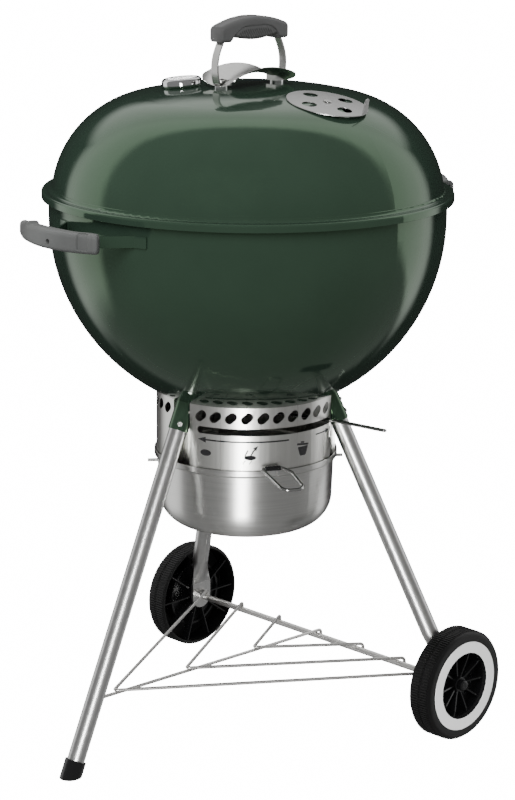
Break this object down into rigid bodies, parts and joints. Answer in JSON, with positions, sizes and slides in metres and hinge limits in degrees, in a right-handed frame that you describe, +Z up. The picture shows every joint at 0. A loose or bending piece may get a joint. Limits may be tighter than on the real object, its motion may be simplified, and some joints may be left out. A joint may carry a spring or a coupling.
{
  "type": "kettle charcoal grill",
  "caption": "Kettle charcoal grill: enamelled bowl and lid on a wheeled tripod, with a wire rack, an ash pot under a vented collar, a sweep lever and a lid damper.",
  "frame": {"origin": "on the floor, straight under the bowl's axis", "axes": "+Z up along the bowl's axis; +X along the wheel axle to the right wheel; the plain leg stands at -Y"},
  "size_m": [0.5956, 0.7438, 1.0455],
  "materials": {
    "enamel_green": "deep green porcelain enamel, glossy",
    "handle_grey": "grey glass-filled nylon, semi-matte",
    "bright_steel": "satin bright steel",
    "leg_aluminium": "satin aluminised tube",
    "pot_aluminium": "lathe-brushed",
    "chrome_steel": "polished",
    "plated_wire": "plated wire, satin",
    "black_plastic": "black moulded plastic",
    "tyre_black": "black, moulded lugs",
    "wall_grey": "light grey ring insert",
    "dial_white": "printed dial plate",
    "needle_red": "red needle",
    "dial_glass": "clear",
    "hot_steel": "plated steel rods",
    "aluminised": "aluminised sheet"
  },
  "bodies": {
    "stand": {"bowl": "enamel_green", "grate_tabs": "enamel_green", "leg_socket_front": "enamel_green", "leg_socket_right": "enamel_green", "leg_socket_left": "enamel_green", "leg_front": "leg_aluminium", "leg_right": "leg_aluminium", "leg_left": "leg_aluminium", "stand_rivets": "bright_steel", "foot_cap": "black_plastic", "axle": "plated_wire", "axle_caps": "black_plastic", "rack_spine": "plated_wire", "rack_vee_1": "plated_wire", "rack_vee_2": "plated_wire", "rack_vee_3": "plated_wire", "handle_bracket_front": "enamel_green", "handle_bracket_rear": "enamel_green", "handle_grip_front": "handle_grey", "handle_grip_rear": "handle_grey", "handle_screws": "bright_steel", "ash_ring": "bright_steel"},
    "lid": {"lid_shell": "enamel_green", "lid_handle_strap": "bright_steel", "lid_grip": "handle_grey", "heat_shield": "bright_steel", "lid_spacers": "chrome_steel", "lid_bolts": "bright_steel", "lid_nuts": "bright_steel", "thermometer_bezel": "chrome_steel", "thermometer_dial": "dial_white", "thermometer_glass": "dial_glass", "thermometer_stem": "bright_steel", "damper_rivet": "bright_steel", "lid_hook": "bright_steel"},
    "needle": {"thermometer_needle": "needle_red"},
    "damper": {"damper_disc": "aluminised"},
    "sweep": {"sweep_hub": "aluminised", "sweep_blade_1": "aluminised", "sweep_blade_2": "aluminised", "sweep_blade_3": "aluminised", "sweep_lever": "chrome_steel", "sweep_nut": "bright_steel"},
    "pot": {"ash_pot": "pot_aluminium", "bail_sleeve": "black_plastic", "pot_fittings": "bright_steel"},
    "bail": {"pot_bail": "chrome_steel"},
    "wheel_right": {"tyre_right": "tyre_black", "hub_right": "black_plastic", "whitewall_right": "wall_grey"},
    "wheel_left": {"tyre_left": "tyre_black", "hub_left": "black_plastic", "whitewall_left": "wall_grey"},
    "grate": {"cooking_grate": "hot_steel"},
    "flap_right": {"grate_flap_right": "hot_steel"},
    "flap_left": {"grate_flap_left": "hot_steel"},
    "coal_grate": {"charcoal_grate": "hot_steel"},
    "button_front": {"leg_button_front": "bright_steel"},
    "button_right": {"leg_button_right": "bright_steel"},
    "button_left": {"leg_button_left": "bright_steel"}
  },
  "joints": [
    {"name": "lid_lift", "type": "slide", "parent": "stand", "child": "lid", "axis": [0, 0, 1], "range_m": [0, 0.35]},
    {"name": "needle_turn", "type": "hinge", "parent": "lid", "child": "needle", "pos_m": [-0.06553, -0.06809, 0.94545], "axis": [-0.0642, -0.0667, 0.9957], "range_deg": [0, 250]},
    {"name": "damper_turn", "type": "hinge", "parent": "lid", "child": "damper", "pos_m": [0.14999, 0.00131, 0.93712], "axis": [0.2038, 0.0018, 0.979], "range_deg": [-25, 20]},
    {"name": "sweep_turn", "type": "hinge", "parent": "stand", "child": "sweep", "pos_m": [0, 0, 0.4745], "axis": [0, 0, 1], "range_deg": [-93, 0]},
    {"name": "pot_drop", "type": "slide", "parent": "stand", "child": "pot", "axis": [0, 0, -1], "range_m": [0, 0.12]},
    {"name": "bail_swing", "type": "hinge", "parent": "pot", "child": "bail", "pos_m": [0.12069, -0.06773, 0.423], "axis": [0.4894, 0.8721, 0], "range_deg": [-80, 70]},
    {"name": "wheel_right_spin", "type": "hinge", "parent": "stand", "child": "wheel_right", "pos_m": [0.2788, 0.1606, 0.0827], "axis": [1, 0, 0], "continuous": true},
    {"name": "wheel_left_spin", "type": "hinge", "parent": "stand", "child": "wheel_left", "pos_m": [-0.2788, 0.1606, 0.0827], "axis": [1, 0, 0], "continuous": true},
    {"name": "grate_lift", "type": "slide", "parent": "stand", "child": "grate", "axis": [0, 0, 1], "range_m": [0, 0.035]},
    {"name": "flap_right_fold", "type": "hinge", "parent": "grate", "child": "flap_right", "pos_m": [0.15, 0, 0.7558], "axis": [0, -1, 0], "range_deg": [0, 85]},
    {"name": "flap_left_fold", "type": "hinge", "parent": "grate", "child": "flap_left", "pos_m": [-0.15, 0, 0.7558], "axis": [0, 1, 0], "range_deg": [0, 85]},
    {"name": "coal_grate_lift", "type": "slide", "parent": "stand", "child": "coal_grate", "axis": [0, 0, 1], "range_m": [0, 0.12]},
    {"name": "button_front_press", "type": "slide", "parent": "stand", "child": "button_front", "axis": [-0.7142, 0.6398, -0.284], "range_m": [0, 0.003], "stiffness_N_per_m": 500, "springref_m": -0.002},
    {"name": "button_right_press", "type": "slide", "parent": "stand", "child": "button_right", "axis": [-0.112, -0.9571, -0.2673], "range_m": [0, 0.003], "stiffness_N_per_m": 500, "springref_m": -0.002},
    {"name": "button_left_press", "type": "slide", "parent": "stand", "child": "button_left", "axis": [0.112, -0.9571, -0.2673], "range_m": [0, 0.003], "stiffness_N_per_m": 500, "springref_m": -0.002}
  ]
}
